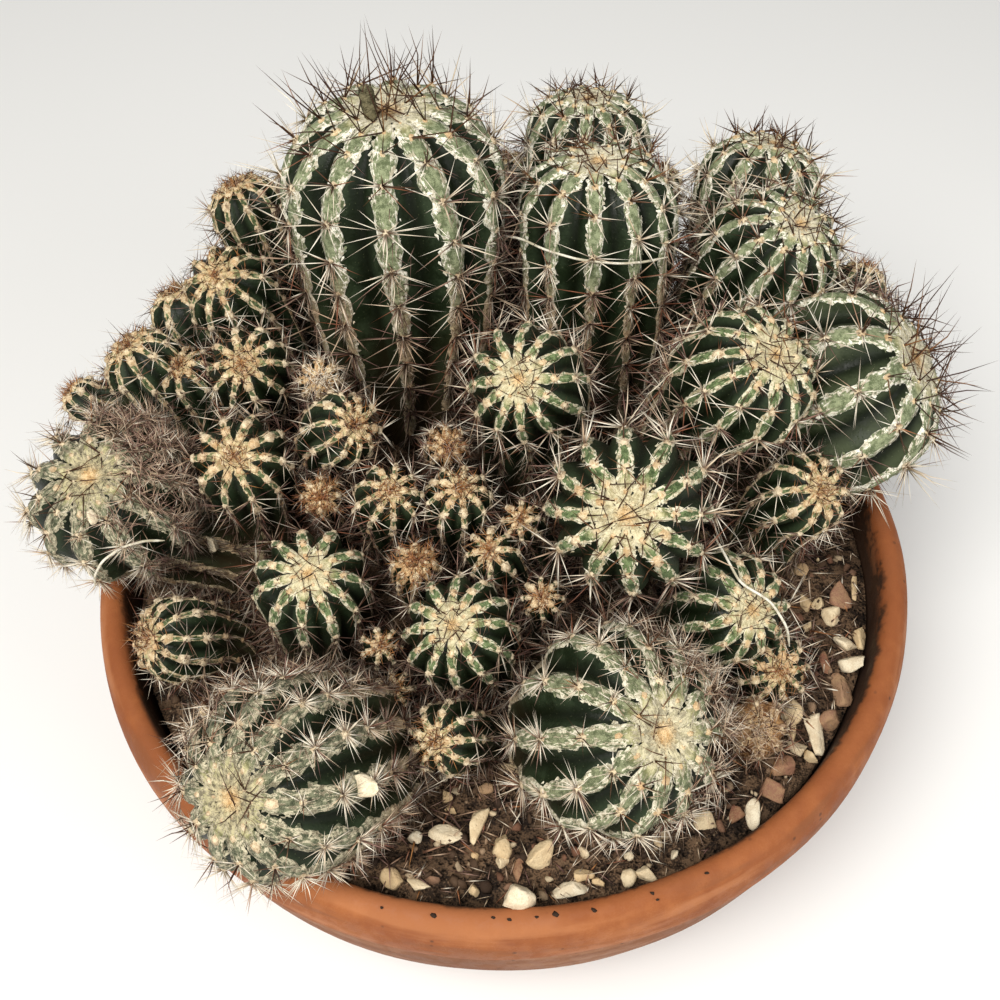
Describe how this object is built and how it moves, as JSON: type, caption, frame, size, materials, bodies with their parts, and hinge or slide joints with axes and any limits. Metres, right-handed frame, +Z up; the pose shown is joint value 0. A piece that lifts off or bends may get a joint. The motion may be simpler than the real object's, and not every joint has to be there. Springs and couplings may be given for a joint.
{
  "type": "potted haku-jo echinopsis",
  "caption": "Clump of ribbed cactus heads with pale felted crests and fine dark spines, grown close together in a low terracotta bowl.",
  "frame": {"origin": "centre of the bowl's flat underside", "axes": "+Z up; -Y towards the open side of the clump, where the soil and the pebbles show; +X to the right seen from there"},
  "size_m": [0.2334, 0.2228, 0.1678],
  "materials": {
    "terracotta": "matte",
    "soil": "matte",
    "skin": "satin",
    "felt": "matte",
    "dry_skin": "matte",
    "spine": "satin",
    "pebble": "matte"
  },
  "bodies": {
    "root": {"pot": "terracotta", "soil": "soil", "head_tall": "skin", "felt_tall": "felt", "head_upright": "skin", "felt_upright": "felt", "head_star": "skin", "felt_star": "felt", "head_front_right": "skin", "felt_front_right": "felt", "head_front_left": "skin", "felt_front_left": "felt", "head_left": "skin", "felt_left": "felt", "head_right": "skin", "felt_right": "felt", "head_right_upper": "skin", "felt_right_upper": "felt", "head_right_inner": "skin", "felt_right_inner": "felt", "head_middle": "skin", "head_back": "skin", "head_back_right": "skin", "head_left_star": "skin", "head_centre_star": "skin", "head_right_low": "skin", "head_right_ball": "skin", "head_left_low": "skin", "head_left_ball": "skin", "head_left_round": "skin", "head_left_upper": "skin", "head_left_top": "skin", "head_outer_left": "skin", "head_outer_inner": "skin", "head_outer_rib": "skin", "bud_outer": "skin", "bud_woolly": "skin", "head_inner_ball": "skin", "head_inner_small": "skin", "bud_orange_left": "skin", "bud_shaded": "skin", "head_inner_round": "skin", "bud_centre": "skin", "bud_red": "skin", "bud_cream": "skin", "bud_middle": "skin", "head_front_small": "skin", "bud_front": "skin", "bud_front_upper": "skin", "head_right_lowest": "skin", "head_dry": "dry_skin", "head_outer_right": "skin", "head_rear_right": "skin", "head_rear_between": "skin", "head_rear_middle": "skin", "head_rear_left": "skin", "head_rear_low": "skin", "head_rear_low_left": "skin"}
  },
  "joints": []
}
